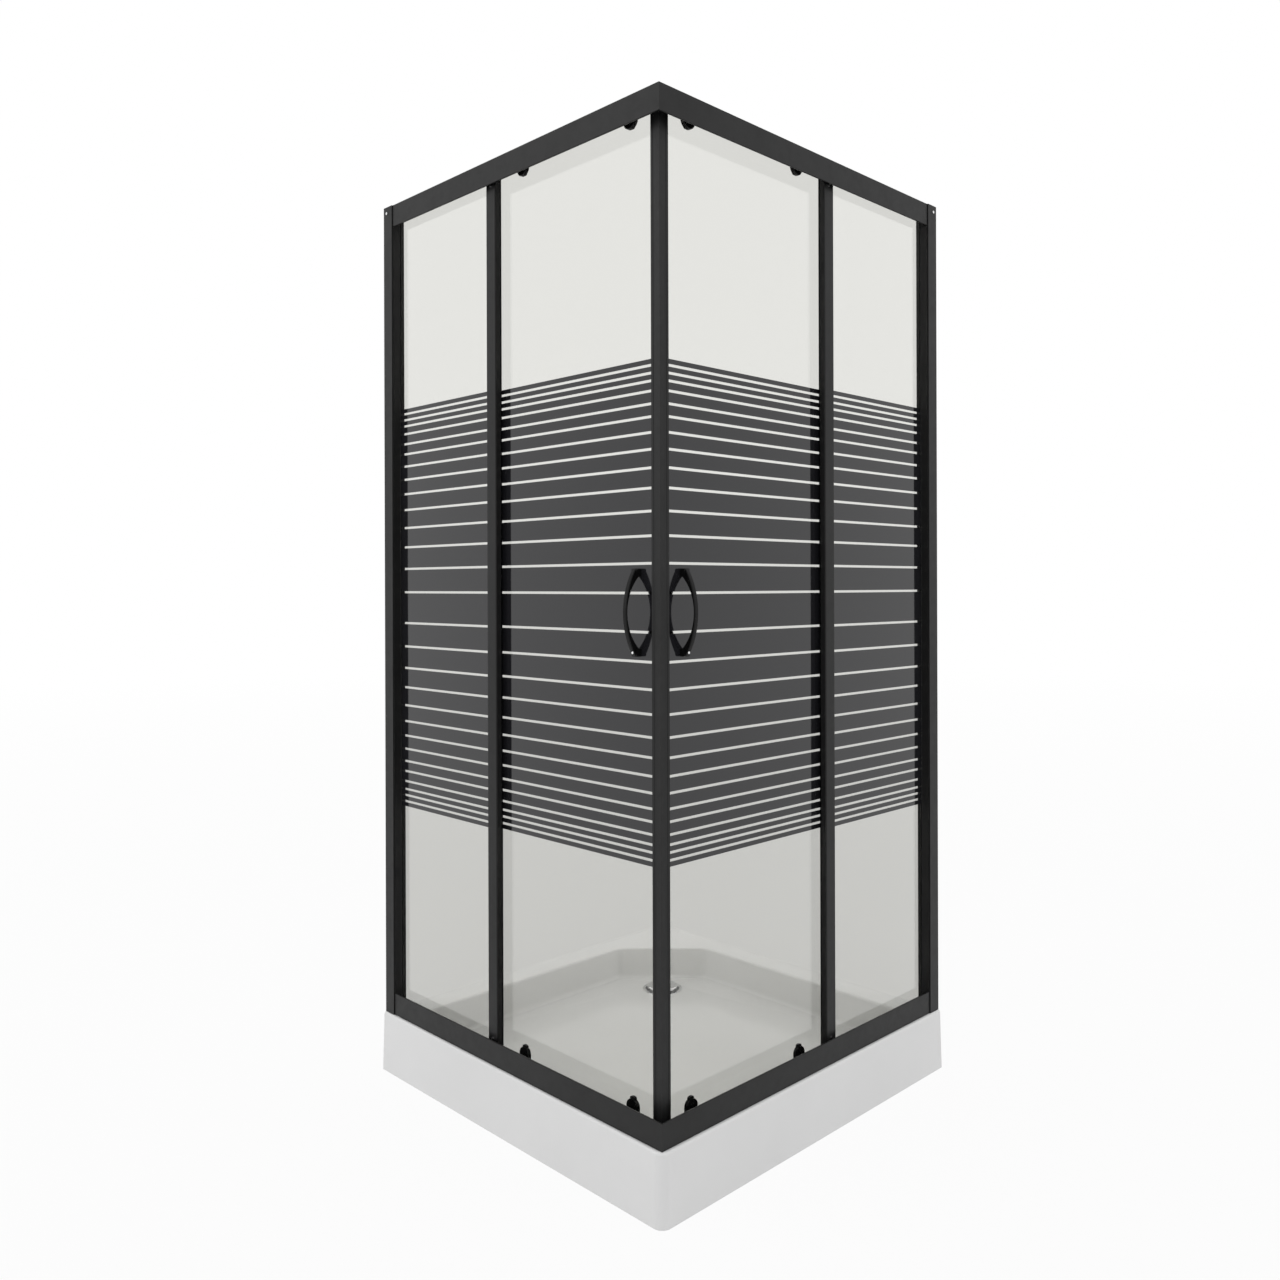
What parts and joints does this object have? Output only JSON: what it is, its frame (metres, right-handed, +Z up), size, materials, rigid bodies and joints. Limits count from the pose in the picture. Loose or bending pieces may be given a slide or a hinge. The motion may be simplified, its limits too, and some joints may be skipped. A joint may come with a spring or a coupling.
{
  "type": "shower enclosure",
  "caption": "Square corner-entry shower enclosure: low acrylic tray, black frame, fixed glass and sliding glass doors with a striped privacy band.",
  "frame": {"origin": "middle of the square footprint, on the floor", "axes": "+Z up; the entry corner is at +X, -Y; house walls stand at -X and at +Y"},
  "size_m": [0.9, 0.9, 1.962],
  "materials": {
    "acrylic_white": "glossy white moulded acrylic",
    "frame_black": "satin black powder coat on extruded aluminium",
    "glass_clear": "clear toughened safety glass",
    "band_enamel": "glossy black enamel fired on the glass as a band of stripes",
    "handle_black": "glossy black moulding",
    "roller_black": "semi-gloss black moulding",
    "wheel_nylon": "plain off-white nylon",
    "magnet_black": "soft black magnetic strip",
    "seal_rubber": "soft black sealing rubber",
    "connector_plastic": "plain black moulding",
    "foot_plastic": "plain black moulding",
    "waste_plastic": "plain light grey moulding",
    "waste_chrome": "polished chrome plate",
    "screw_steel": "bright stainless steel",
    "zinc_steel": "zinc-plated steel",
    "frame_steel": "galvanised steel tube",
    "spring_steel": "spring steel"
  },
  "bodies": {
    "enclosure": {"tray": "acrylic_white", "support_frame": "frame_steel", "foot_bolts": "zinc_steel", "foot_pads": "foot_plastic", "waste_body": "waste_plastic", "waste_seal": "seal_rubber", "waste_flange": "waste_chrome", "wall_profile_left": "frame_black", "jamb_left": "frame_black", "top_rail_left": "frame_black", "bottom_rail_left": "frame_black", "fixed_glass_left": "glass_clear", "mid_post_left": "frame_black", "wall_profile_right": "frame_black", "jamb_right": "frame_black", "top_rail_right": "frame_black", "bottom_rail_right": "frame_black", "fixed_glass_right": "glass_clear", "mid_post_right": "frame_black", "frame_connectors": "connector_plastic", "frame_screws": "screw_steel", "glazing_gaskets": "seal_rubber", "door_stops": "seal_rubber"},
    "waste_cap": {"drain_cap": "waste_chrome"},
    "door_left": {"door_glass_left": "glass_clear", "lead_profile_left": "frame_black", "magnet_strip_left": "magnet_black", "trailing_seal_left": "seal_rubber", "outer_handle_left": "handle_black", "inner_handle_left": "handle_black", "handle_screws_left": "screw_steel", "top_roller_caps_left": "roller_black", "top_roller_hangers_left": "roller_black", "low_roller_housings_left": "roller_black", "roller_spring_near_left": "spring_steel", "roller_spring_far_left": "spring_steel"},
    "roller_button_near_left": {"low_carrier_near_left": "roller_black"},
    "top_wheel_near_left": {"top_wheel_near_left": "wheel_nylon"},
    "low_wheel_near_left": {"low_wheel_near_left": "wheel_nylon"},
    "roller_button_far_left": {"low_carrier_far_left": "roller_black"},
    "top_wheel_far_left": {"top_wheel_far_left": "wheel_nylon"},
    "low_wheel_far_left": {"low_wheel_far_left": "wheel_nylon"},
    "door_right": {"door_glass_right": "glass_clear", "lead_profile_right": "frame_black", "magnet_strip_right": "magnet_black", "trailing_seal_right": "seal_rubber", "outer_handle_right": "handle_black", "inner_handle_right": "handle_black", "handle_screws_right": "screw_steel", "top_roller_caps_right": "roller_black", "top_roller_hangers_right": "roller_black", "low_roller_housings_right": "roller_black", "roller_spring_near_right": "spring_steel", "roller_spring_far_right": "spring_steel"},
    "roller_button_near_right": {"low_carrier_near_right": "roller_black"},
    "top_wheel_near_right": {"top_wheel_near_right": "wheel_nylon"},
    "low_wheel_near_right": {"low_wheel_near_right": "wheel_nylon"},
    "roller_button_far_right": {"low_carrier_far_right": "roller_black"},
    "top_wheel_far_right": {"top_wheel_far_right": "wheel_nylon"},
    "low_wheel_far_right": {"low_wheel_far_right": "wheel_nylon"}
  },
  "joints": [
    {"name": "waste_cap_lift", "type": "slide", "parent": "enclosure", "child": "waste_cap", "axis": [0, 0, 1], "range_m": [0, 0.06]},
    {"name": "door_left_slide", "type": "slide", "parent": "enclosure", "child": "door_left", "axis": [-1, 0, 0], "range_m": [0, 0.34]},
    {"name": "roller_button_near_left_press", "type": "slide", "parent": "door_left", "child": "roller_button_near_left", "axis": [0, 0, -1], "range_m": [0, 0.004], "stiffness_N_per_m": 2000, "springref_m": -0.002, "deforming": ["roller_spring_near_left"]},
    {"name": "top_wheel_near_left_spin", "type": "hinge", "parent": "door_left", "child": "top_wheel_near_left", "pos_m": [0.338, -0.4052, 1.9478], "axis": [0, -1, 0], "range_deg": [0, 3060]},
    {"name": "low_wheel_near_left_spin", "type": "hinge", "parent": "roller_button_near_left", "child": "low_wheel_near_left", "pos_m": [0.338, -0.4052, 0.1442], "axis": [0, 1, 0], "range_deg": [0, 3060]},
    {"name": "roller_button_far_left_press", "type": "slide", "parent": "door_left", "child": "roller_button_far_left", "axis": [0, 0, -1], "range_m": [0, 0.004], "stiffness_N_per_m": 2000, "springref_m": -0.002, "deforming": ["roller_spring_far_left"]},
    {"name": "top_wheel_far_left_spin", "type": "hinge", "parent": "door_left", "child": "top_wheel_far_left", "pos_m": [0.02501, -0.4052, 1.9478], "axis": [0, -1, 0], "range_deg": [0, 3060]},
    {"name": "low_wheel_far_left_spin", "type": "hinge", "parent": "roller_button_far_left", "child": "low_wheel_far_left", "pos_m": [0.02501, -0.4052, 0.1442], "axis": [0, 1, 0], "range_deg": [0, 3060]},
    {"name": "door_right_slide", "type": "slide", "parent": "enclosure", "child": "door_right", "axis": [0, 1, 0], "range_m": [0, 0.34]},
    {"name": "roller_button_near_right_press", "type": "slide", "parent": "door_right", "child": "roller_button_near_right", "axis": [0, 0, -1], "range_m": [0, 0.004], "stiffness_N_per_m": 2000, "springref_m": -0.002, "deforming": ["roller_spring_near_right"]},
    {"name": "top_wheel_near_right_spin", "type": "hinge", "parent": "door_right", "child": "top_wheel_near_right", "pos_m": [0.4052, -0.338, 1.9478], "axis": [-1, 0, 0], "range_deg": [0, 3060]},
    {"name": "low_wheel_near_right_spin", "type": "hinge", "parent": "roller_button_near_right", "child": "low_wheel_near_right", "pos_m": [0.4052, -0.338, 0.1442], "axis": [1, 0, 0], "range_deg": [0, 3060]},
    {"name": "roller_button_far_right_press", "type": "slide", "parent": "door_right", "child": "roller_button_far_right", "axis": [0, 0, -1], "range_m": [0, 0.004], "stiffness_N_per_m": 2000, "springref_m": -0.002, "deforming": ["roller_spring_far_right"]},
    {"name": "top_wheel_far_right_spin", "type": "hinge", "parent": "door_right", "child": "top_wheel_far_right", "pos_m": [0.4052, -0.02501, 1.9478], "axis": [-1, 0, 0], "range_deg": [0, 3060]},
    {"name": "low_wheel_far_right_spin", "type": "hinge", "parent": "roller_button_far_right", "child": "low_wheel_far_right", "pos_m": [0.4052, -0.02501, 0.1442], "axis": [1, 0, 0], "range_deg": [0, 3060]}
  ],
  "couplings": [
    {"joint": "top_wheel_near_left_spin", "follows": "door_left_slide", "rad_per_m": 156.25},
    {"joint": "low_wheel_near_left_spin", "follows": "door_left_slide", "rad_per_m": 156.25},
    {"joint": "top_wheel_far_left_spin", "follows": "door_left_slide", "rad_per_m": 156.25},
    {"joint": "low_wheel_far_left_spin", "follows": "door_left_slide", "rad_per_m": 156.25},
    {"joint": "top_wheel_near_right_spin", "follows": "door_right_slide", "rad_per_m": 156.25},
    {"joint": "low_wheel_near_right_spin", "follows": "door_right_slide", "rad_per_m": 156.25},
    {"joint": "top_wheel_far_right_spin", "follows": "door_right_slide", "rad_per_m": 156.25},
    {"joint": "low_wheel_far_right_spin", "follows": "door_right_slide", "rad_per_m": 156.25}
  ]
}
